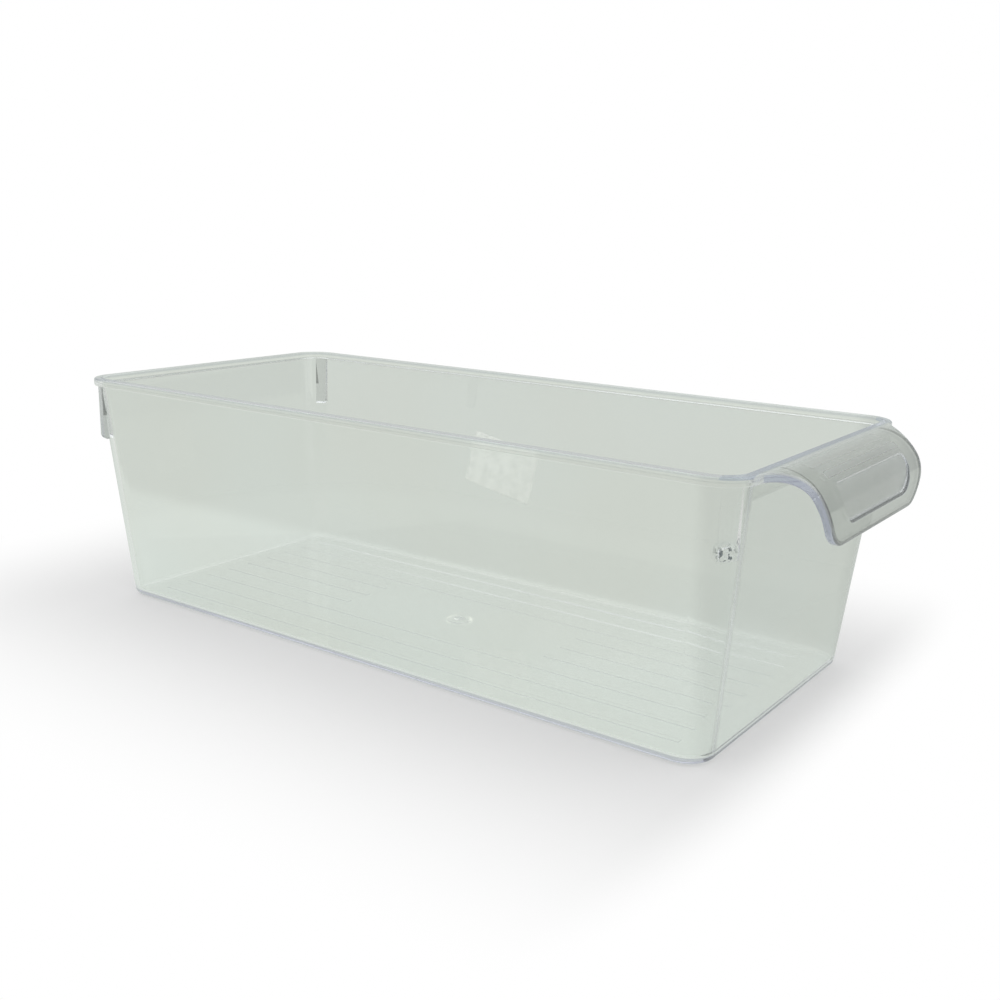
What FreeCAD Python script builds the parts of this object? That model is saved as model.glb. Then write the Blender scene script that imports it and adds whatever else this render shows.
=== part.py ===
"""Clear stacking bin for a refrigerator shelf or drawer: one injection moulding and the blank
label stuck on its side wall.

Frame: the origin is the centre of the flat underside, +Z is up, the bin is long in Y, and its
handle is at the -Y end. All sizes are in millimetres.
"""
import FreeCAD, Part
import math
import os

Vector = FreeCAD.Vector
DIAGONAL = math.sqrt(0.5)

# Tub, measured on its outside
height = 100.0
base_length = 293.0
base_width = 128.7
end_lean = 9.7              # each end wall leans out this far over the height
side_lean = 7.0             # each side wall leans out this far over the height
corner_radius = 11.0
wall = 2.1
floor_thickness = 2.2
base_edge_radius = 3.0
cavity_edge_radius = 2.0

# Rim round the mouth
rim_overhang = 1.85
rim_depth = 3.4
rim_edge_radius = 0.8
mouth_edge_radius = 0.5

# Stacking lugs, one on each corner, which rest on the rim of the bin below
lug_drop = 27.0             # from the mouth down to the face that rests
lug_proud = 0.25            # how far a lug stands outside the wall as it is at the mouth
lug_spread = 36.0           # degrees of the corner that a lug covers
front_lug_start = 27.0      # degrees from the side wall to the lug, at the handle end
back_lug_start = 6.0        # the same at the plain end
lug_edge_radius = 1.6

# Handle: a plate that leaves the rim level with the mouth and curls down to a lip
handle_reach = 17.65        # from the rim's face to the lip's face
handle_flat = 0.4           # level stretch before the curl
handle_inset = 23.85        # from the side wall at the mouth to the handle's side
flare_inset = 7.85          # from the side wall at the mouth to where the handle's flare ends
handle_thickness = 3.2
lip_drop = 25.0             # from the mouth down to the lip's edge
lip_corner_radius = 14.5
handle_edge_radius = 0.8

# Grip recess in the handle's outer face
recess_height = 13.6
recess_depth = 1.2
recess_inset = 13.5         # from the handle's side to the recess
recess_margin = 3.2         # from the lip's edge to the recess, before it is lifted
recess_lift = 1.4           # how far the recess is moved up, which makes its upper end shallow
recess_lower_radius = 9.0
recess_upper_radius = 4.0
recess_edge_radius = 1.6    # where the recess's floor turns up into its sides

# Ribs that lift food off the floor, and the plain field round the moulding gate
rib_count = 9
rib_pitch = 12.5
rib_width = 2.4
rib_height = 0.15
rib_length = 264.0
short_rib_count = 3
field_length = 106.0
gate_pad_diameter = 11.0
gate_pad_height = 0.2
gate_dimple_diameter = 5.0
gate_dimple_depth = 0.6

# Blank label on the outside of the +X wall
label_length = 38.9
label_height = 25.0
label_thickness = 0.2
label_corner_radius = 1.0
label_tilt = 10.4           # degrees, its -Y end hangs lower
label_y = 27.2
label_z = 54.8

# Worked out from the sizes above
mouth_half_x = base_width / 2 + side_lean
mouth_half_y = base_length / 2 + end_lean
rim_half_y = mouth_half_y + rim_overhang
handle_half_x = mouth_half_x - handle_inset
flare_radius = handle_inset - flare_inset
handle_root_y = -(mouth_half_y - wall / 2)
curl_radius = handle_reach - handle_flat
curl_y = -(rim_half_y + handle_flat)
curl_z = height - curl_radius
lip_z = height - lip_drop
lip_station = (curl_radius + curl_z - lip_z) * DIAGONAL
overshoot = 5.0             # how far a cutting shape runs past what it cuts

# Modelling tolerances
level_tolerance = 1e-4      # an edge this flat counts as level
offset_tolerance = 1e-3
sharp_turn = 30.0           # degrees between two faces from which their edge counts as sharp


def rounded_rectangle(half_x, half_y, radius, z):
    """Closed wire of a rounded rectangle about the Z axis at height z."""
    edges = []
    for turn in range(4):
        span_x, span_y = (half_x, half_y) if turn % 2 == 0 else (half_y, half_x)
        start = Vector(span_x, radius - span_y, z)
        end = Vector(span_x, span_y - radius, z)
        centre = Vector(span_x - radius, span_y - radius, z)
        middle = centre + Vector(radius * DIAGONAL, radius * DIAGONAL, 0)
        side = Part.LineSegment(start, end).toShape()
        corner = Part.Arc(end, middle, centre + Vector(0, radius, 0)).toShape()
        for edge in (side, corner):
            edge.rotate(Vector(0, 0, 0), Vector(0, 0, 1), 90 * turn)
            edges.append(edge)
    return Part.Wire(edges)


def edges_at(shape, z):
    """Edges of the shape that lie level at height z."""
    return [e for e in shape.Edges
            if max(abs(e.BoundBox.ZMin - z), abs(e.BoundBox.ZMax - z)) < level_tolerance]


def leaning_block(z_low, z_high, offset, edge_radius):
    """Solid between two heights inside the leaning walls, moved out by offset.

    Its corners and its lower edge are rounded.
    """
    low_x, high_x = (base_width / 2 + side_lean * z / height + offset for z in (z_low, z_high))
    low_y, high_y = (base_length / 2 + end_lean * z / height + offset for z in (z_low, z_high))
    block = Part.makeWedge(-low_x, z_low, -low_y, -high_y, -high_x,
                           low_x, z_high, low_y, high_y, high_x)
    block.rotate(Vector(0, 0, 0), Vector(1, 0, 0), 90)
    uprights = [e for e in block.Edges if e.BoundBox.ZLength > (z_high - z_low) / 2]
    block = block.makeFillet(corner_radius + offset, uprights)
    return block.makeFillet(edge_radius, edges_at(block, z_low))


def make_rim():
    """Solid rim block over the mouth's outline, with its outer edges rounded."""
    low = height - rim_depth
    outline = rounded_rectangle(mouth_half_x + rim_overhang, rim_half_y,
                                corner_radius + rim_overhang, low)
    rim = Part.Face(outline).extrude(Vector(0, 0, rim_depth))
    return rim.makeFillet(rim_edge_radius, edges_at(rim, low) + edges_at(rim, height))


def make_lug(side_x, side_y):
    """Upright lug on one corner, as a slice of a cylinder about the corner's own centre."""
    start = back_lug_start if side_y > 0 else front_lug_start
    low = height - lug_drop
    centre = Vector(mouth_half_x - corner_radius, mouth_half_y - corner_radius, low)
    reach = corner_radius + lug_proud
    lug = Part.makeCylinder(reach, lug_drop - rim_depth / 2, centre, Vector(0, 0, 1), lug_spread)
    lug.rotate(centre, Vector(0, 0, 1), start)
    lower_arc = [e for e in edges_at(lug, low) if isinstance(e.Curve, Part.Circle)]
    lug = lug.makeFillet(lug_edge_radius, lower_arc)
    if side_x < 0:
        lug = lug.mirror(Vector(0, 0, 0), Vector(1, 0, 0))
    if side_y < 0:
        lug = lug.mirror(Vector(0, 0, 0), Vector(0, 1, 0))
    return lug


def handle_skin():
    """Outer surface of the handle, unbounded at its sides: level, curl, then upright lip."""
    half = handle_half_x + flare_radius + overshoot
    root = Vector(-half, handle_root_y, height)
    curl_top = Vector(-half, curl_y, height)
    curl_middle = Vector(-half, curl_y - curl_radius * DIAGONAL, curl_z + curl_radius * DIAGONAL)
    curl_end = Vector(-half, curl_y - curl_radius, curl_z)
    lip_edge = Vector(-half, curl_y - curl_radius, lip_z)
    section = Part.Wire([
        Part.LineSegment(root, curl_top).toShape(),
        Part.Arc(curl_top, curl_middle, curl_end).toShape(),
        Part.LineSegment(curl_end, lip_edge).toShape(),
    ])
    return section.extrude(Vector(2 * half, 0, 0))


def diagonal_die(half_outline):
    """Prism that trims the handle's skin square to the middle of its curl.

    half_outline lists the +X half from root to lip: a straight stretch is ("line", x, station),
    and a quarter arc is ("arc", x, station, middle_x, middle_station). Stations run down the
    curl's diagonal from the curl's centre.
    """
    along = Vector(0, -DIAGONAL, -DIAGONAL)
    outward = Vector(0, -DIAGONAL, DIAGONAL)
    depth = 2 * (curl_radius + lip_drop)
    base = Vector(0, curl_y, curl_z) - outward * (depth / 2)

    def point(x, station):
        return base + Vector(x, 0, 0) + along * station

    edges = []
    for side in (1, -1):
        before = None
        for step in half_outline:
            here = point(side * step[1], step[2])
            if step[0] == "line":
                edges.append(Part.LineSegment(before, here).toShape())
            if step[0] == "arc":
                middle = point(side * step[3], step[4])
                edges.append(Part.Arc(before, middle, here).toShape())
            before = here
    for end in (half_outline[0], half_outline[-1]):
        edges.append(Part.LineSegment(point(-end[1], end[2]), point(end[1], end[2])).toShape())
    outline = Part.Wire(Part.sortEdges(edges)[0])
    return Part.Face(outline).extrude(outward * depth)


def middle_of(edge):
    """Point halfway along an edge."""
    return edge.valueAt((edge.FirstParameter + edge.LastParameter) / 2)


def sharp_edges(plate):
    """Edges at which a plate on the handle turns sharply."""
    edges = []
    for edge in plate.Edges:
        faces = plate.ancestorsOfType(edge, Part.Face)
        first, second = [f.normalAt(*f.Surface.parameter(middle_of(edge))) for f in faces]
        turn = math.degrees(first.getAngle(second))
        if min(turn, 180 - turn) > sharp_turn:
            edges.append(edge)
    return edges


def skin_depth(point):
    """How deep a point on the curl or the lip lies under the handle's outer face."""
    return curl_radius - math.hypot(point.y - curl_y, max(point.z - curl_z, 0))


def trimmed_plate(half_outline, thickness, proud=0):
    """Plate inside an outline, its edges square to the handle's skin.

    It lies under the skin by its thickness, and may stand proud of the skin as well.
    """
    skin = Part.Shell(handle_skin().common(diagonal_die(half_outline)).Faces)
    if proud:
        skin = Part.Shell(skin.makeOffsetShape(-proud, offset_tolerance).Faces)
    thick = skin.makeOffsetShape(thickness + proud, offset_tolerance, fill=True)
    return Part.Solid(Part.Shell(thick.Faces))


def make_handle():
    """Curled plate that flares into the rim, its edges rounded outside the tub's end wall."""
    half = handle_half_x
    wide = half + flare_radius
    tangent = lip_station - lip_corner_radius
    flare_end = tangent - flare_radius
    plate = trimmed_plate([
        ("start", wide, flare_end - handle_reach),
        ("line", wide, flare_end),
        ("arc", half, tangent, wide - flare_radius * DIAGONAL, tangent - flare_radius * DIAGONAL),
        ("arc", half - lip_corner_radius, lip_station,
         half - lip_corner_radius * (1 - DIAGONAL), tangent + lip_corner_radius * DIAGONAL),
    ], handle_thickness)
    outside = [e for e in sharp_edges(plate) if e.BoundBox.YMax < -mouth_half_y]
    return plate.makeFillet(handle_edge_radius, outside)


def make_recess():
    """What is cut from the handle's outer face for the grip recess, its floor edges rounded.

    It stands proud of the skin, so the rounding may be larger than the recess is deep.
    """
    half = handle_half_x - recess_inset
    low = lip_station - recess_margin
    high = low - recess_height
    upper = recess_upper_radius
    lower = recess_lower_radius
    pocket = trimmed_plate([
        ("start", half - upper, high),
        ("arc", half, high + upper, half - upper * (1 - DIAGONAL), high + upper * (1 - DIAGONAL)),
        ("line", half, low - lower),
        ("arc", half - lower, low, half - lower * (1 - DIAGONAL), low - lower * (1 - DIAGONAL)),
    ], recess_depth, proud=2 * recess_edge_radius)
    floor = [e for e in sharp_edges(pocket) if skin_depth(middle_of(e)) > recess_depth / 2]
    pocket = pocket.makeFillet(recess_edge_radius, floor)
    pocket.translate(Vector(0, 0, recess_lift))
    return pocket


def make_rib(x, y_from, y_to):
    """Low flat-topped rib on the floor, along Y, rooted half a floor deep."""
    root = Vector(x - rib_width / 2, y_from, floor_thickness / 2)
    return Part.makeBox(rib_width, y_to - y_from, floor_thickness / 2 + rib_height, root)


def make_ribs():
    """All floor ribs; the middle ones stop at the plain field round the gate."""
    ribs = []
    end = rib_length / 2
    field = field_length / 2
    for index in range(rib_count):
        place = index - (rib_count - 1) / 2
        x = place * rib_pitch
        if abs(place) > short_rib_count / 2:
            ribs.append(make_rib(x, -end, end))
        else:
            ribs.append(make_rib(x, -end, -field))
            ribs.append(make_rib(x, field, end))
    return ribs


def make_gate_mark(tub):
    """Tub with the low round pad and shallow dimple that the moulding gate leaves in its floor."""
    root = Vector(0, 0, floor_thickness / 2)
    top = floor_thickness + gate_pad_height
    pad = Part.makeCylinder(gate_pad_diameter / 2, top - root.z, root)
    half = gate_dimple_diameter / 2
    ball_radius = (half ** 2 + gate_dimple_depth ** 2) / (2 * gate_dimple_depth)
    ball = Part.makeSphere(ball_radius, Vector(0, 0, top - gate_dimple_depth + ball_radius))
    return tub.fuse(pad).cut(ball)


def round_mouth(tub):
    """Tub with the inner edge of its mouth rounded."""
    inner = [e for e in edges_at(tub, height)
             if max(-e.BoundBox.XMin, e.BoundBox.XMax) < mouth_half_x - wall / 2
             and max(-e.BoundBox.YMin, e.BoundBox.YMax) < mouth_half_y - wall / 2]
    return tub.makeFillet(mouth_edge_radius, inner)


def make_bin():
    """The whole moulding: leaning tub, rim, lugs, curled handle and ribbed floor."""
    lugs = [make_lug(side_x, side_y) for side_x in (-1, 1) for side_y in (-1, 1)]
    outside = leaning_block(0, height, 0, base_edge_radius)
    handle = make_handle().cut(make_recess())
    solid = outside.multiFuse([make_rim(), handle] + lugs)
    cavity = leaning_block(floor_thickness, height + overshoot, -wall, cavity_edge_radius)
    tub = round_mouth(solid.cut(cavity).removeSplitter())
    return make_gate_mark(tub.multiFuse(make_ribs())).removeSplitter()


def make_label():
    """Thin label that lies on the leaning outer face of the +X wall."""
    outline = rounded_rectangle(label_height / 2, label_length / 2, label_corner_radius, 0)
    label = Part.Face(outline).extrude(Vector(0, 0, label_thickness))
    lean = math.degrees(math.atan2(side_lean, height))
    face_x = base_width / 2 + side_lean * label_z / height
    label.rotate(Vector(0, 0, 0), Vector(0, 0, 1), label_tilt)
    label.rotate(Vector(0, 0, 0), Vector(0, 1, 0), 90 + lean)
    label.translate(Vector(face_x, label_y, label_z))
    return label


os.makedirs("parts", exist_ok=True)
for name, shape in (("clear_bin", make_bin()), ("blank_label", make_label())):
    shape.exportStep(os.path.join("parts", name + ".step"))
    print(name, "valid", shape.isValid(), "solids", len(shape.Solids), "faces", len(shape.Faces),
          "volume", round(shape.Volume), "box", shape.BoundBox)
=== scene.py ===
"""Clear refrigerator organizer bin: its plastic, its blank label and a pale studio round it.

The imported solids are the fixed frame. Lengths are in metres, Z is up, the bin is long in Y and its
handle points to -Y.
"""
import math

import bpy
import numpy as np
from bpy.props import FloatProperty, FloatVectorProperty, PointerProperty
from mathutils import Matrix, Vector


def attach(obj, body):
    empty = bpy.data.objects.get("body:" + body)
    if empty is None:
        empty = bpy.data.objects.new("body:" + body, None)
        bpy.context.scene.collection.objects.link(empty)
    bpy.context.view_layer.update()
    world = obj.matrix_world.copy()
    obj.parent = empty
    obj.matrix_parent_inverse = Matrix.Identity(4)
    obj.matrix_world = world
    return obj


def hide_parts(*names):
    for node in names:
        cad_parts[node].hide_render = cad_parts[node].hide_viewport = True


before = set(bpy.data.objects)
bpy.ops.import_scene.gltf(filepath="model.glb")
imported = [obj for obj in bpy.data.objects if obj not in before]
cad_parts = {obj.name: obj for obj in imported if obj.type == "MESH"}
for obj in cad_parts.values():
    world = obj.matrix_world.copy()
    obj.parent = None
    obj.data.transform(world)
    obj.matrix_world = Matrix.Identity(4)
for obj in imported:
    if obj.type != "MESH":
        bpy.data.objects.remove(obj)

bl_info = {
    "name": "Clear Organizer Bin",
    "version": (1, 0, 0),
    "blender": (4, 5, 0),
    "location": "View3D > Sidebar > Organizer Bin",
    "description": "Finishes a clear refrigerator organizer bin and sets it in a pale studio",
    "category": "Object",
}

BIN_NODE = "clear_bin"
LABEL_NODE = "blank_label"
MILLIMETRE = 0.001


# Settings ---------------------------------------------------------------------------------------

class PlasticSettings(bpy.types.PropertyGroup):
    """Look of the clear moulding."""
    tint: FloatVectorProperty(
        name="Tint", description="Colour that one wall gives to what shows through it",
        subtype="COLOR", size=3, min=0, max=1, default=(0.968, 0.984, 0.968))
    depth_tint: FloatVectorProperty(
        name="Depth Tint", description="Colour that the thick sections turn to",
        subtype="COLOR", size=3, min=0, max=1, default=(0.45, 0.41, 0.68))
    depth_density: FloatProperty(
        name="Depth Density", description="How fast the thick sections take up their tint",
        min=0, max=200, default=4.5)
    index: FloatProperty(
        name="Index of Refraction", description="Bends the light as clear styrene does",
        min=1.3, max=1.8, default=1.57)
    polish: FloatProperty(
        name="Polish", description="Roughness of the polished walls", min=0, max=1, default=0.03)
    grip_frost: FloatProperty(
        name="Grip Frost", description="Roughness of the satin grip recess",
        min=0, max=1, default=0.24)
    # Painted shade: darkens the tint over the satin grip recess
    grip_painted_shade: FloatProperty(
        name="Grip Shade", description="How much light the satin recess lets through",
        min=0, max=1, default=0.62)
    # Painted shade: darkens the tint of the handle and of the wall that carries it
    handle_end_painted_shade: FloatProperty(
        name="End Shade", description="How much light the handle and its wall let through",
        min=0, max=1, default=0.72)
    most_turns: FloatProperty(
        name="Most Turns", description="How often light is bent before it leaves the plastic",
        min=1, max=12, default=5.5)
    wave: FloatProperty(
        name="Wall Wave", description="Height of the slow waves in the moulded walls",
        subtype="DISTANCE", unit="LENGTH", min=0, max=0.001, default=0.00002)
    # Painted shade with the lavender of thick plastic: darkens the handle's cut side faces
    cut_tint_and_painted_shade: FloatVectorProperty(
        name="Cut Tint", description="Colour of the handle's narrow side faces",
        subtype="COLOR", size=3, min=0, max=1, default=(0.57, 0.61, 0.73))
    # Painted shade: a dark band along the handle's rounded outline
    edge_painted_shade: FloatProperty(
        name="Edge Shade", description="Light let through at the handle's rounded outline",
        min=0, max=1, default=0.22)
    # Painted shade: dark lines along the steep sides of the grip recess
    ledge_painted_shade: FloatProperty(
        name="Ledge Shade", description="Light let through at the steep sides of the grip recess",
        min=0, max=1, default=0.12)
    # Painted shade with a lavender tint: darkens the rim's flat top to a dark line
    rim_tint_and_painted_shade: FloatVectorProperty(
        name="Rim Tint", description="Colour of the rim's flat top",
        subtype="COLOR", size=3, min=0, max=1, default=(0.48, 0.53, 0.66))
    # Painted light: a glow given out along the rim's outer face
    painted_skirt_glow: FloatVectorProperty(
        name="Skirt Glow", description="Light that the walls pipe to the foot of the rim",
        subtype="COLOR", size=3, min=0, max=1, default=(0.068, 0.068, 0.058))
    # Painted shade: a dark line where the corners run into the handle's end
    corner_painted_shade: FloatProperty(
        name="Corner Shade", description="Light let through where the corners run into the end",
        min=0, max=1, default=0.76)
    # Painted shade: a dark seam along the foot of the handle's wall
    foot_painted_shade: FloatProperty(
        name="Foot Shade", description="Light let through along the foot of the handle's wall",
        min=0, max=1, default=0.20)
    # The swirl is a relief that is also darkened with painted shade
    swirl_place: FloatVectorProperty(
        name="Swirl Place", description="Middle of the melt swirl at the foot of one lug",
        subtype="TRANSLATION", unit="LENGTH", size=3, default=(-0.06786, -0.15172, 0.0756))
    curl_axis: FloatVectorProperty(
        name="Curl Axis", description="Y and Z of the axis that the handle curls about",
        subtype="TRANSLATION", unit="LENGTH", size=2, default=(-0.15845, 0.08275))
    curl_radius: FloatProperty(
        name="Curl Radius", description="From the curl's axis to the handle's outer face",
        subtype="DISTANCE", unit="LENGTH", default=0.01725)
    handle_half: FloatProperty(
        name="Handle Half Width", description="Half the width of the handle",
        subtype="DISTANCE", unit="LENGTH", default=0.0475)
    lip_corner: FloatProperty(
        name="Lip Corner", description="Radius of the lip's corners", subtype="DISTANCE",
        unit="LENGTH", default=0.0145)
    lip_station: FloatProperty(
        name="Lip Station", description="From the curl's axis down its diagonal to the lip's edge",
        subtype="DISTANCE", unit="LENGTH", default=0.017678)
    recess_lift: FloatProperty(
        name="Recess Lift", description="How far the recess's floor is raised from the curl",
        subtype="DISTANCE", unit="LENGTH", default=0.0014)
    recess_radius: FloatProperty(
        name="Recess Radius", description="From the raised axis to the floor of the grip recess",
        subtype="DISTANCE", unit="LENGTH", default=0.01605)
    recess_half: FloatProperty(
        name="Recess Half Width", description="Half the width of the grip recess",
        subtype="DISTANCE", unit="LENGTH", default=0.034)


class LabelSettings(bpy.types.PropertyGroup):
    """Size, place and colours of the blank label."""
    length: FloatProperty(
        name="Length", description="Length of the label", subtype="DISTANCE", unit="LENGTH",
        default=0.0389)
    height: FloatProperty(
        name="Height", description="Height of the label", subtype="DISTANCE", unit="LENGTH",
        default=0.025)
    thickness: FloatProperty(
        name="Thickness", description="Thickness of the film and its glue", subtype="DISTANCE",
        unit="LENGTH", default=0.00016)
    corner: FloatProperty(
        name="Corner Radius", description="Radius of the die-cut corners", subtype="DISTANCE",
        unit="LENGTH", default=0.001)
    tilt: FloatProperty(
        name="Tilt", description="How far the label was stuck on askew", subtype="ANGLE",
        unit="ROTATION", default=math.radians(10.4))
    lean: FloatProperty(
        name="Wall Lean", description="How far the side wall leans out", subtype="ANGLE",
        unit="ROTATION", default=math.atan2(7.0, 100.0))
    centre: FloatVectorProperty(
        name="Centre", description="Middle of the label's glued face", subtype="TRANSLATION",
        unit="LENGTH", size=3, default=(0.068206, 0.0272, 0.0548))
    film: FloatVectorProperty(
        name="Film", description="Colour of the film", subtype="COLOR", size=3, min=0, max=1,
        default=(0.915, 0.925, 0.90))
    glue: FloatVectorProperty(
        name="Glue", description="Colour where the glue has bubbled", subtype="COLOR", size=3,
        min=0, max=1, default=(0.75, 0.77, 0.74))
    # Painted light: the film gives out light in its own colour, though it is no lamp
    glow: FloatProperty(
        name="Glow", description="Light that the wall gathers and gives out through the film",
        min=0, max=1, default=0.285)


class StudioSettings(bpy.types.PropertyGroup):
    """Camera, lamps and backdrop."""
    azimuth: FloatProperty(
        name="Camera Azimuth", description="Turn of the camera's right-hand direction about Z",
        subtype="ANGLE", unit="ROTATION", default=math.radians(-53.992))
    elevation: FloatProperty(
        name="Camera Elevation", description="How far the camera looks down", subtype="ANGLE",
        unit="ROTATION", default=math.radians(13.815))
    roll: FloatProperty(
        name="Camera Roll", description="Turn of the camera about its own line of sight",
        subtype="ANGLE", unit="ROTATION", default=math.radians(1.167))
    camera_place: FloatVectorProperty(
        name="Camera Place", description="Where the camera stands", subtype="TRANSLATION",
        unit="LENGTH", size=3, default=(-0.3865, -0.2938, 0.1746))
    lens: FloatProperty(
        name="Lens", description="Focal length in millimetres on a 36 mm sensor",
        min=10, max=200, default=42.24)
    shift: FloatVectorProperty(
        name="Lens Shift", description="Offset of the frame from the lens's axis", size=2,
        default=(0.0129, 0.0009))
    floor: FloatVectorProperty(
        name="Floor", description="Colour of the floor", subtype="COLOR", size=3, min=0, max=1,
        default=(0.70, 0.70, 0.70))
    # Painted shadow: the paper round the bin's foot stays grey, and gives way to white this far out
    fade: FloatVectorProperty(
        name="Fade", description="How far from the bin the floor fades out, across and along it",
        subtype="TRANSLATION", unit="LENGTH", size=3, default=(0.132, 0.031, 0.12))
    light_table: FloatProperty(
        name="Light Table", description="How evenly the floor is lit in and through the plastic",
        min=0, max=1, default=0.85)
    backdrop_tone: FloatVectorProperty(
        name="Backdrop Tone", description="Tone of the backdrop in and through clear plastic",
        subtype="COLOR", size=3, min=0, max=1, default=(0.636, 0.671, 0.634))
    floor_tone: FloatVectorProperty(
        name="Floor Tone", description="Tone of the floor in and through clear plastic",
        subtype="COLOR", size=3, min=0, max=1, default=(0.715, 0.757, 0.720))
    front_tone: FloatVectorProperty(
        name="Front Tone", description="Tone of the floor on the -X side in clear plastic",
        subtype="COLOR", size=3, min=0, max=2, default=(0.78, 0.785, 0.765))
    flags: FloatVectorProperty(
        name="Flags", description="Level direction in which a dark card stands, on either side",
        subtype="DIRECTION", size=2, default=(-0.588, 0.809))
    flag_tone: FloatVectorProperty(
        name="Flag Tone", description="Tone of the dark cards in and through clear plastic",
        subtype="COLOR", size=3, min=0, max=1, default=(0.36, 0.375, 0.375))
    fill: FloatProperty(
        name="Fill", description="Brightness of the light that comes from all round",
        min=0, max=2, default=0.85)


# Shader maths -----------------------------------------------------------------------------------

class Value:
    """A socket that takes part in arithmetic: each operation adds a Math node."""

    def __init__(self, shader, socket):
        self.shader = shader
        self.socket = socket

    def math(self, operation, *others):
        inputs = dict(enumerate((self,) + others))
        return self.shader.node("ShaderNodeMath", {"operation": operation}, inputs)

    def __add__(self, other):
        return self.math("ADD", other)

    __radd__ = __add__

    def __sub__(self, other):
        return self.math("SUBTRACT", other)

    def __rsub__(self, other):
        return (self * -1) + other

    def __mul__(self, other):
        return self.math("MULTIPLY", other)

    __rmul__ = __mul__

    def __abs__(self):
        return self.math("ABSOLUTE")

    def __pow__(self, power):
        return self.math("POWER", power)

    def __or__(self, other):
        return self.math("MAXIMUM", other)

    def __and__(self, other):
        return self.math("MINIMUM", other)

    def __lt__(self, other):
        return self.math("LESS_THAN", other)

    def __gt__(self, other):
        return self.math("GREATER_THAN", other)


class Shader:
    """A material's or the world's node tree, emptied and built up again."""

    def __init__(self, owner):
        owner.use_nodes = True
        self.tree = owner.node_tree
        self.tree.nodes.clear()

    def node(self, kind, settings=None, inputs=None, output=0):
        """Adds a node, makes its settings, fills its sockets and returns one of its outputs."""
        made = self.tree.nodes.new(kind)
        for name, setting in (settings or {}).items():
            setattr(made, name, setting)
        for name, given in (inputs or {}).items():
            if isinstance(given, Value):
                self.tree.links.new(given.socket, made.inputs[name])
            else:
                made.inputs[name].default_value = given
        return Value(self, made.outputs[output]) if made.outputs else None

    def place(self, kind="Object"):
        """Object coordinates, or a world's direction, and their X, Y and Z as values."""
        point = self.node("ShaderNodeTexCoord", output=kind)
        split = [self.node("ShaderNodeSeparateXYZ", None, {0: point}, axis) for axis in range(3)]
        return point, split

    def noise(self, point, scale, detail=2.0, roughness=0.5, stretch=(1, 1, 1)):
        """Noise over Object coordinates, scale features to the metre, stretched by axis."""
        moved = self.node("ShaderNodeMapping", {"vector_type": "POINT"},
                          {"Vector": point, "Scale": stretch})
        return self.node("ShaderNodeTexNoise", {"noise_dimensions": "3D"}, {
            "Vector": moved, "Scale": scale, "Detail": detail, "Roughness": roughness})

    def step(self, value, low, high):
        """0 below low, 1 above high and a smooth rise between."""
        return self.node("ShaderNodeMapRange", {"interpolation_type": "SMOOTHSTEP"}, {
            "Value": value, "From Min": low, "From Max": high, "To Min": 0.0, "To Max": 1.0})

    def blend(self, share, first, second):
        """Colour between first and second."""
        return self.node("ShaderNodeMix", {"data_type": "RGBA"}, {
            0: share, 6: first, 7: second}, 2)


def rgba(colour, times=1.0):
    """Four numbers for a colour socket; a value is left as it is."""
    if isinstance(colour, Value):
        return colour
    return tuple(times * c for c in colour) + (1.0,)


# Finishes ---------------------------------------------------------------------------------------

# The walls' lean, and the axis of each corner's arc at the underside
SIDE_LEAN, END_LEAN = 0.07, 0.097
ARC_X, ARC_Y = 53.35 * MILLIMETRE, 135.5 * MILLIMETRE

# Distances from the axis of a corner's arc that tell the walls' faces apart
INNER_FACE = 9.6 * MILLIMETRE       # inside this lies the tub's inner face
WALL_FACE = 11.3 * MILLIMETRE       # outside this lie the lugs and the rim
SKIRT_FACE = 12.3 * MILLIMETRE      # outside this lies the rim's outer face alone

# Heights over the underside
FOOT_TOP = 2.8 * MILLIMETRE
GATE_TOP = 4.0 * MILLIMETRE
LUG_FOOT = 72.5 * MILLIMETRE
STROKE_FOOT = 83.0 * MILLIMETRE
RIM_FOOT = 96.6 * MILLIMETRE
SKIRT_MIDDLE = 97.3 * MILLIMETRE
BRIM_TOP = 97.8 * MILLIMETRE
RIM_TOP = 99.0 * MILLIMETRE

# Places along Y at the handle's end
FOOT_WALL = -145.2 * MILLIMETRE     # the handle's wall at the underside
RIM_BACK = -150.0 * MILLIMETRE      # back edge of the rim that carries the handle
RIM_FRONT = -157.5 * MILLIMETRE     # where the rim's top turns into the handle
RIM_FACE = -158.5 * MILLIMETRE      # outer face of the rim

# Distances beyond the axis of a corner's arc, across and along the bin (see end_masks)
END_WALL = 7 * MILLIMETRE           # past this lies the end wall alone
LUG_START, LUG_HALF = 0.9 * MILLIMETRE, 2.6 * MILLIMETRE
STROKE_END = 1.7 * MILLIMETRE       # up to this runs a back lug's first stroke of painted shade
STROKE_ACROSS, STROKE_ALONG = 6 * MILLIMETRE, 8 * MILLIMETRE    # past both lies its second
CORNER_MIDDLE, CORNER_REACH = 0.5 * MILLIMETRE, 1.3 * MILLIMETRE
SKIRT_REACH = 1.1 * MILLIMETRE      # up and down from the skirt's middle

# Grip recess: its span over the curl's axis, the least skin and floor in it and on its steep
# sides (see handle_masks), and where the satin runs out over its upper end
RECESS_FOOT, RECESS_TOP = -6.3 * MILLIMETRE, 13.9 * MILLIMETRE
RECESS_MARGIN = 0.5 * MILLIMETRE
RECESS_SKIN, RECESS_FLOOR = 0.06 * MILLIMETRE, -0.4 * MILLIMETRE
LEDGE_SKIN, LEDGE_FLOOR = 0.15 * MILLIMETRE, 0.3 * MILLIMETRE
RECESS_FADE = (94.0 * MILLIMETRE, 97.6 * MILLIMETRE)

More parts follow.
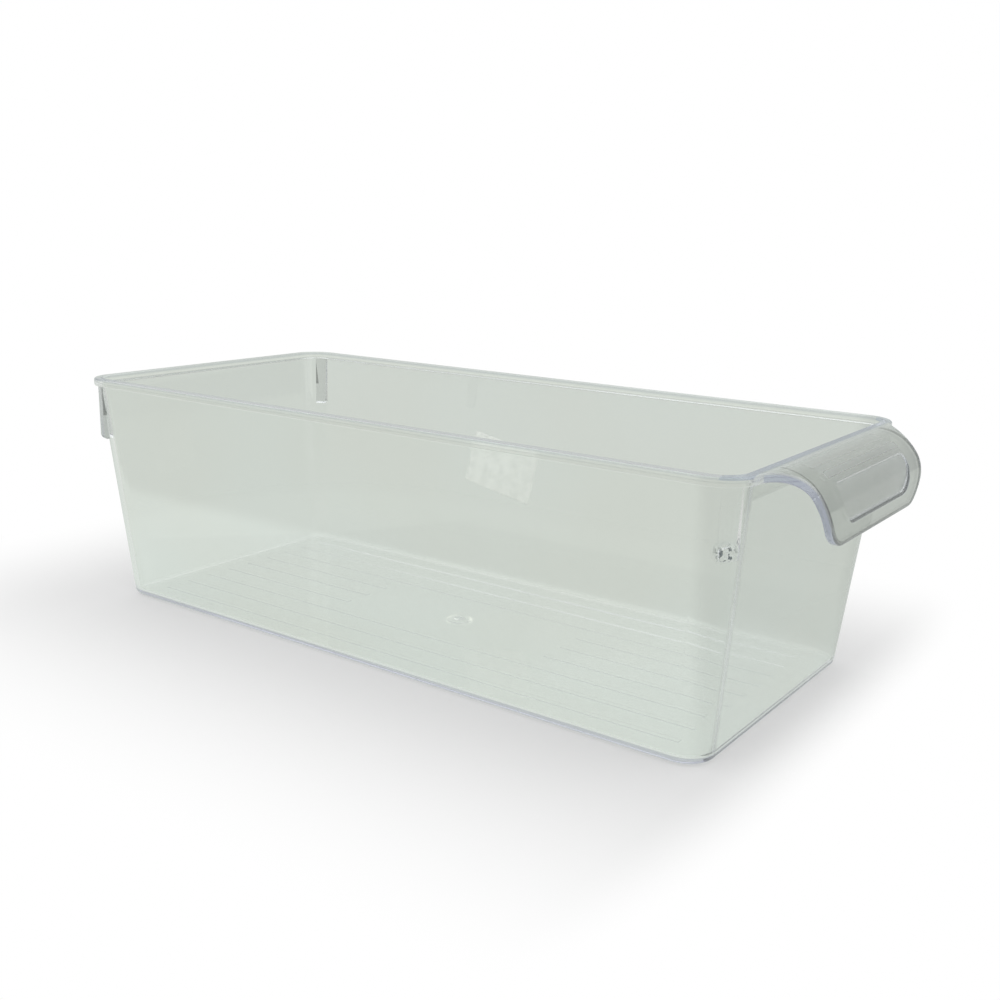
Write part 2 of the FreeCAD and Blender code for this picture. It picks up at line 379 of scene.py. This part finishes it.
# Outline of the handle's plate: how wide its painted dark edge is, and how deep the cut side face
# lies
OUTLINE_SIDE, OUTLINE_TIP = 5.0 * MILLIMETRE, 6.0 * MILLIMETRE
EDGE_START, EDGE_END = 0.3 * MILLIMETRE, 1.2 * MILLIMETRE
EDGE_EXTRA = 2.1 * MILLIMETRE       # added on the +X side
EDGE_WIDENING = (33.0 * MILLIMETRE, 43.0 * MILLIMETRE)
EDGE_SKIN, CUT_SKIN = 0.5 * MILLIMETRE, 2.8 * MILLIMETRE

# Patterns of the plastic, with their features to the metre
MELT = {"scale": 620, "detail": 1.0}
DRIFT = {"scale": 13, "detail": 1.0, "roughness": 0.4}
WAVE = {"scale": 24, "detail": 1.0, "roughness": 0.4, "stretch": (1, 0.6, 1)}
GRAIN = {"scale": 2600, "detail": 2.0}
HAIR = {"scale": 420, "detail": 3.0, "roughness": 0.7, "stretch": (1, 0.06, 1)}
HANDLED = {"scale": 55, "detail": 3.0, "roughness": 0.6}
ARCS = {"scale": 150, "detail": 1.0}

# Patterns of the label
BUBBLES = {"scale": 420, "detail": 3.0, "roughness": 0.6}
PATCHES = {"scale": 170, "detail": 2.0}
FIBRE = {"scale": 3200, "detail": 2.0}

# Levels of the noise between which each pattern rises from 0 to 1
MELT_LEVELS, DRIFT_LEVELS, ARCS_LEVELS = (0.55, 0.6), (0.35, 0.65), (0.5, 0.6)
HAIR_LEVELS, HANDLED_LEVELS = (0.62, 0.74), (0.45, 0.75)
BUBBLES_LEVELS, PATCHES_LEVELS = (0.48, 0.68), (0.45, 0.62)

# Heights of the reliefs, and where along Z the walls' waves die out under the rim
GRAIN_RELIEF, SWIRL_RELIEF = 0.02 * MILLIMETRE, 1.7 * MILLIMETRE
BUBBLE_RELIEF, FIBRE_RELIEF = 0.03 * MILLIMETRE, 0.004 * MILLIMETRE
WAVE_FADE = (97 * MILLIMETRE, 90 * MILLIMETRE)

# Where the melt swirl fades out and is full, and the circle round the moulding gate where painted
# glowing arcs lie
SWIRL_FADE = (4.8 * MILLIMETRE, 2.0 * MILLIMETRE)
RING_RADIUS, RING_REACH = 5.2 * MILLIMETRE, 0.9 * MILLIMETRE

# Where painted shade darkens the tint towards the handle, and how much of it the handle's wall takes
END_FADE = (-140 * MILLIMETRE, -147 * MILLIMETRE)
HANDLE_FADE = (-156 * MILLIMETRE, -162 * MILLIMETRE)
END_SHARE = 0.36
# Painted shade of the grip recess: where it lightens upwards, and by how much
GRIP_RISE, GRIP_LIFT = (80 * MILLIMETRE, 94 * MILLIMETRE), 0.2

# Roughness added by handling, by hairlines, on the lugs and corners, and on the rim, where it
# rises with Z, and that of the label's film, with what its fibres add
HANDLED_HAZE, HAIR_HAZE, MOULD_HAZE, RIM_HAZE = 0.02, 0.03, 0.15, 0.05
RIM_RISE = (95.5 * MILLIMETRE, 96.5 * MILLIMETRE)
FILM_HAZE, FIBRE_HAZE = 0.42, 0.15

# Light let through under painted shade, the smear of handling, tints and a painted glow
BRIM_PAINTED_SHADE, LUG_PAINTED_SHADE, STROKE_PAINTED_SHADE, SMEAR = 0.72, 0.68, 0.15, 0.005
RIM_SHARE = 0.35                    # of the rim's tint and painted shade away from the handle's end
DRIFT_TINT = (0.996, 0.990, 0.984)
# Painted shade: near black laid on the melt swirl
SWIRL_PAINTED_SHADE = (0.05, 0.06, 0.07)
DEEP_TINT = (0.97, 0.975, 0.98)     # for light that has been bent most_turns times
SHADOW_TINT = (0.86, 0.865, 0.86)   # for the light that passes on to the floor
PAINTED_GATE_GLOW = 2.2                     # brightness of the gate's painted glowing arcs against the rim foot's painted glow

# Shares of the label's film
BUBBLE_SHARE, PATCH_SHARE, BACKLIT_SHARE, SHEER_SHARE = 0.8, 0.5, 0.4, 0.3


def hypotenuse(first, second):
    """Length of the vector with these two values as its sides."""
    return (first * first + second * second) ** 0.5


def between(value, low, high):
    """1 where a value lies between two bounds and 0 elsewhere."""
    return (value > low) * (value < high)


def hump(value, middle, reach):
    """1 at the middle, falling as a parabola to 0 at a reach to either side, and 0 beyond."""
    off = abs(value - middle) * (1 / reach)
    return (1 - off * off) | 0.0


def handle_masks(x, y, z, settings):
    """Values of 0 or 1: grip recess, its steep sides, the handle's outline, its cut side faces.

    skin is the depth under the handle's outer face, floor the height over the recess's floor, and
    margin the distance to the plate's outline, seen square to the middle of the curl.
    """
    behind = settings.curl_axis[0] - y
    above = z - settings.curl_axis[1]
    skin = settings.curl_radius - hypotenuse(behind, above | 0.0)
    floor = hypotenuse(behind, (above - settings.recess_lift) | 0.0) - settings.recess_radius
    side = abs(x) - (settings.handle_half - settings.lip_corner)
    station = (behind - above) * math.sqrt(0.5) - (settings.lip_station - settings.lip_corner)
    margin = settings.lip_corner - hypotenuse(side | 0.0, station | 0.0)

    curled = behind > 0.0
    across = abs(x) < settings.recess_half + RECESS_MARGIN
    recess = curled * across * between(above, RECESS_FOOT, RECESS_TOP)
    recess = recess * (skin > RECESS_SKIN) * (floor > RECESS_FLOOR)
    ledge = recess * (skin > LEDGE_SKIN) * (floor > LEDGE_FLOOR)
    beside = curled * (side > OUTLINE_SIDE)
    tip = curled * (station > OUTLINE_TIP)
    start, end = EDGE_WIDENING
    widening = (((x - start) * (1 / (end - start))) | 0.0) & 1.0
    breadth = widening * EDGE_EXTRA + EDGE_END
    edge = (beside | tip) * (margin < breadth) * (margin > EDGE_START) * (skin < EDGE_SKIN)
    cut = beside * between(skin, EDGE_SKIN, CUT_SKIN)
    return recess, ledge, edge, cut


def end_masks(x, y, z):
    """Values of 0 to 1 by name for the rim, the corners, the lugs and the foot.

    past and beyond are how far a point lies beyond the axis of a corner's arc, across and along
    the bin, and out is its distance from that axis.
    """
    past = abs(x) - (z * SIDE_LEAN + ARC_X)
    beyond = abs(y) - (z * END_LEAN + ARC_Y)
    out = hypotenuse(past | 0.0, beyond | 0.0)
    end_wall = (beyond > END_WALL) * (z < RIM_FOOT) * (y > RIM_FACE)
    hung = between(z, LUG_FOOT, RIM_FOOT) * (out > WALL_FACE)
    back_lug = hung * (y > 0) * (beyond > LUG_START)
    round_turn = (past > STROKE_ACROSS) * (beyond > STROKE_ALONG) * (z > STROKE_FOOT)
    return {
        "rim": (z > RIM_TOP) * (y > RIM_FRONT) * ((y < RIM_BACK) * (1 - RIM_SHARE) + RIM_SHARE),
        "skirt": hump(z, SKIRT_MIDDLE, SKIRT_REACH) * (out > SKIRT_FACE) * (y > RIM_FACE),
        "brim": (out < INNER_FACE) * between(z, RIM_FOOT, BRIM_TOP),
        "corner": hump(past, CORNER_MIDDLE, CORNER_REACH) * end_wall * (y < 0) * (
            out < WALL_FACE),
        "lug": hung * end_wall * (abs(past) < LUG_HALF) | back_lug,
        "stroke": back_lug * (round_turn | (beyond < STROKE_END)),
        "foot": (z < FOOT_TOP) * (y < FOOT_WALL),
    }


def plastic_relief(s, point, z, recess, swirl, settings):
    """Normals of the slow waves in the walls, the grain of the recess and the melt swirl."""
    waves = s.noise(point, **WAVE) * s.step(z, *WAVE_FADE) * settings.wave
    grain = recess * s.noise(point, **GRAIN) * GRAIN_RELIEF
    return s.node("ShaderNodeBump", None, {
        "Strength": 1.0, "Distance": 1.0, "Height": waves + grain + swirl * SWIRL_RELIEF})


def plastic_colour(s, y, handled, drift, painted_shades, settings):
    """Tint of one crossing: painted shade darkens it towards the handle, handling smears it, it
    drifts, and painted shade is laid on last.

    The pairs given each hold a mask and the colour of the painted shade that is laid on there.
    """
    # Painted shade that darkens the tint towards the handle
    end = s.step(y, *END_FADE) * END_SHARE + s.step(y, *HANDLE_FADE) * (1 - END_SHARE)
    colour = s.blend(end, rgba(settings.tint), rgba(settings.tint, settings.handle_end_painted_shade))
    colour = s.blend(handled * SMEAR, colour, rgba((0, 0, 0)))
    warm = s.node("ShaderNodeMix", {"data_type": "RGBA", "blend_type": "MULTIPLY"}, {
        0: 1.0, 6: colour, 7: rgba(DRIFT_TINT)}, 2)
    colour = s.blend(s.step(drift, *DRIFT_LEVELS), colour, warm)
    for mask, shade in painted_shades:
        colour = s.blend(mask, colour, shade)
    return colour


def painted_plastic_glow(s, point, x, y, z, skirt, settings):
    """Painted light: a glow along the foot of the rim and in broken arcs round the moulding gate."""
    # Painted highlight: broken arcs round the gate that glow
    painted_gate_arcs = hump(hypotenuse(x, y), RING_RADIUS, RING_REACH) * (z < GATE_TOP)
    painted_gate_arcs = painted_gate_arcs * s.step(s.noise(point, **ARCS), *ARCS_LEVELS)
    glow = s.blend(skirt, rgba((0, 0, 0)), rgba(settings.painted_skirt_glow))
    return s.blend(painted_gate_arcs, glow, rgba(settings.painted_skirt_glow, PAINTED_GATE_GLOW))


def clear_plastic(settings):
    """Clear moulded plastic, with a satin grip recess, slow waves, hairlines, a deep tint, and
    painted shade and glow.
    """
    material = bpy.data.materials.new("clear_plastic_moulding")
    s = Shader(material)
    point, (x, y, z) = s.place()

    recess, ledge, edge, cut = handle_masks(x, y, z, settings)
    ends = end_masks(x, y, z)
    fading = (abs(x) < settings.recess_half) * (y < settings.curl_axis[0])
    satin = recess | fading * between(z, *RECESS_FADE)
    away = s.node("ShaderNodeVectorMath", {"operation": "DISTANCE"}, {
        0: point, 1: tuple(settings.swirl_place)}, 1)
    swirl = s.step(away, *SWIRL_FADE)
    melt = s.noise(point, **MELT)
    hair = s.step(s.noise(point, **HAIR), *HAIR_LEVELS)
    handled = s.step(s.noise(point, **HANDLED), *HANDLED_LEVELS)

    polished = handled * HANDLED_HAZE + hair * HAIR_HAZE + settings.polish
    roughness = polished * (1 - satin) + satin * settings.grip_frost
    roughness = roughness + (ends["lug"] + ends["corner"]) * MOULD_HAZE
    roughness = roughness + s.step(z, *RIM_RISE) * RIM_HAZE
    # Painted shade over the recess, darker low and lighter high
    grip = s.blend(s.step(z, *GRIP_RISE), rgba(settings.tint, settings.grip_painted_shade),
                   rgba(settings.tint, settings.grip_painted_shade + GRIP_LIFT))
    # Painted shade laid on the tint: recess, its steep sides, the handle's outline and cut faces,
    # rim, corners, under the rim, lugs, strokes, foot and swirl
    colour = plastic_colour(s, y, handled, s.noise(point, **DRIFT), (
        (recess, grip),
        (ledge, rgba(settings.tint, settings.ledge_painted_shade)),
        (edge, rgba(settings.tint, settings.edge_painted_shade)),
        (cut, rgba(settings.cut_tint_and_painted_shade)),
        (ends["rim"], rgba(settings.rim_tint_and_painted_shade)),
        (ends["corner"], rgba(settings.tint, settings.corner_painted_shade)),
        (ends["brim"], rgba(settings.tint, BRIM_PAINTED_SHADE)),
        (ends["lug"], rgba(settings.tint, LUG_PAINTED_SHADE)),
        (ends["stroke"], rgba(settings.tint, STROKE_PAINTED_SHADE)),
        (ends["foot"], rgba(settings.tint, settings.foot_painted_shade)),
        (swirl * s.step(melt, *MELT_LEVELS), rgba(SWIRL_PAINTED_SHADE)),
    ), settings)

    # Painted light: the rim's foot and the gate's arcs glow as emission
    glass = s.node("ShaderNodeBsdfPrincipled", None, {
        "Base Color": colour, "Roughness": roughness,
        "Normal": plastic_relief(s, point, z, recess, swirl * melt, settings),
        "Emission Color": painted_plastic_glow(s, point, x, y, z, ends["skirt"], settings),
        "Emission Strength": 1.0, "IOR": settings.index, "Transmission Weight": 1.0})
    deep_pass = s.node("ShaderNodeBsdfTransparent", None, {"Color": rgba(DEEP_TINT)})
    lamps_pass = s.node("ShaderNodeBsdfTransparent", None, {"Color": rgba(SHADOW_TINT)})
    shadow, diffuse, turns = (s.node("ShaderNodeLightPath", output=name)
                              for name in ("Is Shadow Ray", "Is Diffuse Ray", "Ray Depth"))
    surface = s.node("ShaderNodeMixShader", None, {
        0: turns > settings.most_turns, 1: glass, 2: deep_pass})
    surface = s.node("ShaderNodeMixShader", None, {0: shadow | diffuse, 1: surface, 2: lamps_pass})
    depth = s.node("ShaderNodeVolumeAbsorption", None, {
        "Color": rgba(settings.depth_tint), "Density": settings.depth_density})
    s.node("ShaderNodeOutputMaterial", None, {"Surface": surface, "Volume": depth})
    return material


def label_film(settings):
    """Pale blank film, mottled where its glue has bubbled, that glows with painted light."""
    material = bpy.data.materials.new("blank_label_film")
    s = Shader(material)
    point, _ = s.place()
    bubbles = s.step(s.noise(point, **BUBBLES), *BUBBLES_LEVELS)
    patches = s.step(s.noise(point, **PATCHES), *PATCHES_LEVELS)
    fibre = s.noise(point, **FIBRE)
    colour = s.blend(bubbles * BUBBLE_SHARE, rgba(settings.film), rgba(settings.glue))
    colour = s.blend(patches * PATCH_SHARE, colour, rgba(settings.glue))
    height = bubbles * BUBBLE_RELIEF + fibre * FIBRE_RELIEF
    normal = s.node("ShaderNodeBump", None, {
        "Strength": 1.0, "Distance": 1.0, "Height": height})
    # Painted light: the film glows with its own colour at the label's glow strength
    film = s.node("ShaderNodeBsdfPrincipled", None, {
        "Base Color": colour, "Roughness": fibre * FIBRE_HAZE + FILM_HAZE, "Normal": normal,
        "Emission Color": colour, "Emission Strength": settings.glow})
    backlit = s.node("ShaderNodeBsdfTranslucent", None, {"Color": rgba(settings.film)})
    sheer = s.node("ShaderNodeBsdfTransparent", None, {"Color": rgba((1, 1, 1))})
    lit = s.node("ShaderNodeMixShader", None, {0: BACKLIT_SHARE, 1: film, 2: backlit})
    surface = s.node("ShaderNodeMixShader", None, {0: SHEER_SHARE, 1: lit, 2: sheer})
    s.node("ShaderNodeOutputMaterial", None, {"Surface": surface})
    return material


# Surfaces ---------------------------------------------------------------------------------------

def grid_faces(rows, columns, first=0):
    """Quads of a rows by columns grid of points that starts at a given point."""
    index = first + np.arange(rows * columns).reshape(rows, columns)
    return np.stack([index[:-1, :-1], index[:-1, 1:], index[1:, 1:], index[1:, :-1]], -1
                    ).reshape(-1, 4)


def new_piece(name, points, faces, material, smooth=True):
    """Mesh object from an array of points and one of faces."""
    mesh = bpy.data.meshes.new(name)
    mesh.from_pydata(points.tolist(), [], faces.tolist())
    mesh.polygons.foreach_set("use_smooth", np.full(len(faces), smooth))
    mesh.materials.append(material)
    mesh.update()
    piece = bpy.data.objects.new(name, mesh)
    bpy.context.scene.collection.objects.link(piece)
    return piece


def label_sheet(settings, rows=40, columns=60):
    """Closed thin sheet with round corners, in the wall's own plane.

    A point (u, v) of the square from -1 to 1 goes to (u a, v b), with a and b half the length and
    height. In a corner's square of side r, the offset q from its inner corner is scaled by
    max(qx, qy) / |q|, which rounds it. The outer face stands t (1 - 0.5 e^4) (0.86 + 0.14 w) off
    the wall, with t the thickness, e = max(|u|, |v|) and w the slow wave
    sin(5.1 u + 1.3 v + 0.4) cos(3.7 v - 1.9 u).
    """
    half = np.array([settings.length, settings.height]) / 2
    u, v = np.meshgrid(np.linspace(-1, 1, columns), np.linspace(-1, 1, rows))
    flat = np.stack([u, v], -1) * half
    q = np.maximum(np.abs(flat) - (half - settings.corner), 0)
    size = np.maximum(np.linalg.norm(q, axis=-1, keepdims=True), 1e-12)
    squeeze = q.max(-1, keepdims=True) / size
    flat = np.sign(flat) * (np.abs(flat) - q + q * squeeze)
    edge = np.maximum(np.abs(u), np.abs(v))
    wave = np.sin(5.1 * u + 1.3 * v + 0.4) * np.cos(3.7 * v - 1.9 * u)
    lift = settings.thickness * (1 - 0.5 * edge ** 4) * (0.86 + 0.14 * wave)
    outer = np.dstack([flat, lift]).reshape(-1, 3)
    inner = np.dstack([flat, np.zeros_like(lift)]).reshape(-1, 3)
    count = rows * columns
    index = np.arange(count).reshape(rows, columns)
    rim = np.concatenate([index[0, :-1], index[:-1, -1], index[-1, :0:-1], index[:0:-1, 0]])
    after = np.roll(rim, -1)
    side = np.stack([rim, rim + count, after + count, after], -1)
    faces = np.concatenate([grid_faces(rows, columns), grid_faces(rows, columns, count)[:, ::-1],
                            side])
    return np.concatenate([outer, inner]), faces


def on_wall(points, settings):
    """Points of the wall's plane moved to the leaning wall, and turned by the label's tilt.

    The length runs along (sin t sin l, cos t, sin t cos l), the normal is (cos l, 0, -sin l), and
    the height is their cross product, with t the tilt and l the lean.
    """
    tilt, lean = settings.tilt, settings.lean
    along = np.array([math.sin(tilt) * math.sin(lean), math.cos(tilt),
                      math.sin(tilt) * math.cos(lean)])
    normal = np.array([math.cos(lean), 0, -math.sin(lean)])
    up = np.cross(normal, along)
    return points @ np.stack([along, up, normal]) + np.array(settings.centre)


# Studio -----------------------------------------------------------------------------------------

WHITE = (1, 1, 1)
SENSOR_WIDTH = 36                   # millimetres
CLIP_START, CLIP_END = 0.01, 50
FLOOR_GAP = 0.3 * MILLIMETRE

# The bin's footprint, round which the floor keeps a painted shadow that fades out
FOOT_SIDE, FOOT_HANDLE_END, FOOT_PLAIN_END = 64 * MILLIMETRE, 148 * MILLIMETRE, 152 * MILLIMETRE

# Where the tone of the floor in clear plastic turns to the backdrop's and to the near side's
FAR_SIDE = (50 * MILLIMETRE, 80 * MILLIMETRE)
NEAR_SIDE = (-60 * MILLIMETRE, -160 * MILLIMETRE)
CARD_EDGE = (0.5, 0.9)              # cosine of the angle to a card's middle

# Tooth of the floor's paper
TOOTH = {"scale": 900, "detail": 3.0}
TOOTH_SHARE, TOOTH_TONE = 0.03, (0.5, 0.5, 0.5)

# Each lamp's name, place, target, width and height, and power in watts
LAMPS = (
    ("top_softbox", (-0.2, 0.3, 1.2), (0, 0, 0), (2.2, 2.2), 8),
    ("left_softbox", (-1.2, 0.5, 0.8), (0, 0, 0.05), (0.7, 0.9), 1),
    ("right_softbox", (0.2, -1.4, 0.8), (0, 0, 0.05), (1.9, 1.8), 5),
)


def add_lamp(name, place, target, size, power):
    """Soft rectangular lamp that faces a target."""
    light = bpy.data.lights.new(name, "AREA")
    light.shape = "RECTANGLE"
    light.size, light.size_y = size
    light.energy = power
    lamp = bpy.data.objects.new(name, light)
    lamp.location = place
    lamp.rotation_euler = (Vector(target) - Vector(place)).to_track_quat("-Z", "Y").to_euler()
    bpy.context.scene.collection.objects.link(lamp)


def add_camera(settings):
    """Camera whose right, up and back directions come from azimuth, elevation and roll."""
    data = bpy.data.cameras.new("studio_camera")
    data.sensor_width = SENSOR_WIDTH
    data.lens = settings.lens
    data.shift_x, data.shift_y = settings.shift
    data.clip_start, data.clip_end = CLIP_START, CLIP_END
    azimuth, elevation = settings.azimuth, settings.elevation
    level = Vector((math.cos(azimuth), math.sin(azimuth), 0))
    back = Vector((math.sin(azimuth) * math.cos(elevation),
                   -math.cos(azimuth) * math.cos(elevation), math.sin(elevation)))
    upright = back.cross(level)
    turn = Matrix.Rotation(settings.roll, 3, back)
    axes = Matrix((turn @ level, turn @ upright, back)).transposed()
    camera = bpy.data.objects.new("studio_camera", data)
    camera.matrix_world = Matrix.Translation(settings.camera_place) @ axes.to_4x4()
    bpy.context.scene.collection.objects.link(camera)
    bpy.context.scene.camera = camera


def stage_colour(s, seen, tone, cast):
    """Colour for the camera, the tone that clear plastic shows, and what is cast on the bin.

    Also returns where plastic shows it, as a value of 0 or 1.
    """
    camera, glossy, through = (
        s.node("ShaderNodeLightPath", output=name)
        for name in ("Is Camera Ray", "Is Glossy Ray", "Is Transmission Ray"))
    in_plastic = (glossy | through) * (1 - camera)
    return s.blend(camera, s.blend(in_plastic, rgba(cast), rgba(tone)), rgba(seen)), in_plastic


def floor_finish(settings):
    """Pale paper floor with a painted shadow round the bin's foot, fading into the backdrop with
    distance.
    """
    material = bpy.data.materials.new("pale_floor")
    s = Shader(material)
    point, (x, y, _) = s.place()
    # Painted shadow: grey paper round the bin's foot, turning to the white glow with distance
    across = ((abs(x) - FOOT_SIDE) | 0.0) * (1 / settings.fade[0])
    along = ((y * -1 - FOOT_HANDLE_END) * (1 / settings.fade[1])) | (
        (y - FOOT_PLAIN_END) * (1 / settings.fade[2]))
    far = s.step(hypotenuse(across, along | 0.0), 0.0, 1.0)
    shown = s.blend(s.step(x, *FAR_SIDE), rgba(settings.floor_tone), rgba(settings.backdrop_tone))
    shown = s.blend(s.step(x, *NEAR_SIDE), shown, rgba(settings.front_tone))
    colour, _ = stage_colour(s, settings.floor, shown, settings.floor)
    paper = s.node("ShaderNodeBsdfDiffuse", None, {
        "Color": s.blend(s.noise(point, **TOOTH) * TOOTH_SHARE, colour, rgba(TOOTH_TONE))})
    tone, in_plastic = stage_colour(s, WHITE, shown, [settings.fill] * 3)
    glow = s.node("ShaderNodeEmission", None, {"Color": tone})
    surface = s.node("ShaderNodeMixShader", None, {
        0: far | in_plastic * settings.light_table, 1: paper, 2: glow})
    s.node("ShaderNodeOutputMaterial", None, {"Surface": surface})
    return material


def backdrop_finish(world, settings):
    """Pale backdrop with a dark card at either side, which only clear plastic shows."""
    s = Shader(world)
    _, (x, y, _) = s.place("Generated")
    card = s.step(abs(x * settings.flags[0] + y * settings.flags[1]), *CARD_EDGE)
    tone = s.blend(card, rgba(settings.backdrop_tone), rgba(settings.flag_tone))
    colour, _ = stage_colour(s, WHITE, tone, [settings.fill] * 3)
    sky = s.node("ShaderNodeBackground", None, {"Color": colour})
    s.node("ShaderNodeOutputWorld", None, {"Surface": sky})


def floor_disc(radius=6.0, count=49):
    """Flat disc just under the bin, closed in its middle and without a seam.

    A point (u, v) of the square from -1 to 1 goes to R m^2 (u, v) / |(u, v)|, with R the radius and
    m = max(|u|, |v|), so the disc is finest in the middle.
    """
    u, v = np.meshgrid(np.linspace(-1, 1, count), np.linspace(-1, 1, count))
    away = np.maximum(np.hypot(u, v), 1e-12)
    reach = radius * np.maximum(np.abs(u), np.abs(v)) ** 2 / away
    points = np.dstack([reach * u, reach * v, np.full_like(u, -FLOOR_GAP)]).reshape(-1, 3)
    return points, grid_faces(count, count)


# Operators --------------------------------------------------------------------------------------

class BIN_OT_plastic(bpy.types.Operator):
    """Give the moulding its clear plastic"""
    bl_idname = "organizer.plastic"
    bl_label = "Finish Clear Moulding"

    def execute(self, context):
        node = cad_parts[BIN_NODE]
        node.data.materials.clear()
        node.data.materials.append(clear_plastic(context.scene.bin_plastic))
        return {"FINISHED"}


class BIN_OT_label(bpy.types.Operator):
    """Stick the blank label on the side wall"""
    bl_idname = "organizer.label"
    bl_label = "Make Blank Label"

    def execute(self, context):
        settings = context.scene.bin_label
        points, faces = label_sheet(settings)
        piece = new_piece("label_sheet", on_wall(points, settings), faces, label_film(settings))
        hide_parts(LABEL_NODE)
        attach(piece, "root")
        return {"FINISHED"}


class BIN_OT_studio(bpy.types.Operator):
    """Set up the floor, the backdrop, the lamps and the camera"""
    bl_idname = "organizer.studio"
    bl_label = "Set Up Studio"

    def execute(self, context):
        settings = context.scene.bin_studio
        points, faces = floor_disc()
        new_piece("studio_floor", points, faces, floor_finish(settings))
        world = bpy.data.worlds.new("studio_backdrop")
        context.scene.world = world
        backdrop_finish(world, settings)
        for lamp in LAMPS:
            add_lamp(*lamp)
        add_camera(settings)
        context.scene.view_settings.view_transform = "Standard"
        return {"FINISHED"}


class BIN_PT_panel(bpy.types.Panel):
    """Lists the bin's steps in the sidebar"""
    bl_label = "Organizer Bin"
    bl_idname = "BIN_PT_panel"
    bl_space_type = "VIEW_3D"
    bl_region_type = "UI"
    bl_category = "Organizer Bin"

    def draw(self, context):
        for operator in OPERATORS:
            self.layout.operator(operator.bl_idname)


OPERATORS = (BIN_OT_plastic, BIN_OT_label, BIN_OT_studio)
SETTINGS = {"bin_plastic": PlasticSettings, "bin_label": LabelSettings,
            "bin_studio": StudioSettings}


def register():
    for made in (*SETTINGS.values(), *OPERATORS, BIN_PT_panel):
        bpy.utils.register_class(made)
    for name, group in SETTINGS.items():
        setattr(bpy.types.Scene, name, PointerProperty(type=group))


def unregister():
    for name in SETTINGS:
        delattr(bpy.types.Scene, name)
    for made in (BIN_PT_panel, *OPERATORS, *SETTINGS.values()):
        bpy.utils.unregister_class(made)


def main():
    register()
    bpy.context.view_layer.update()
    bpy.ops.organizer.plastic()
    bpy.ops.organizer.label()
    bpy.ops.organizer.studio()


if __name__ == "__main__":
    main()
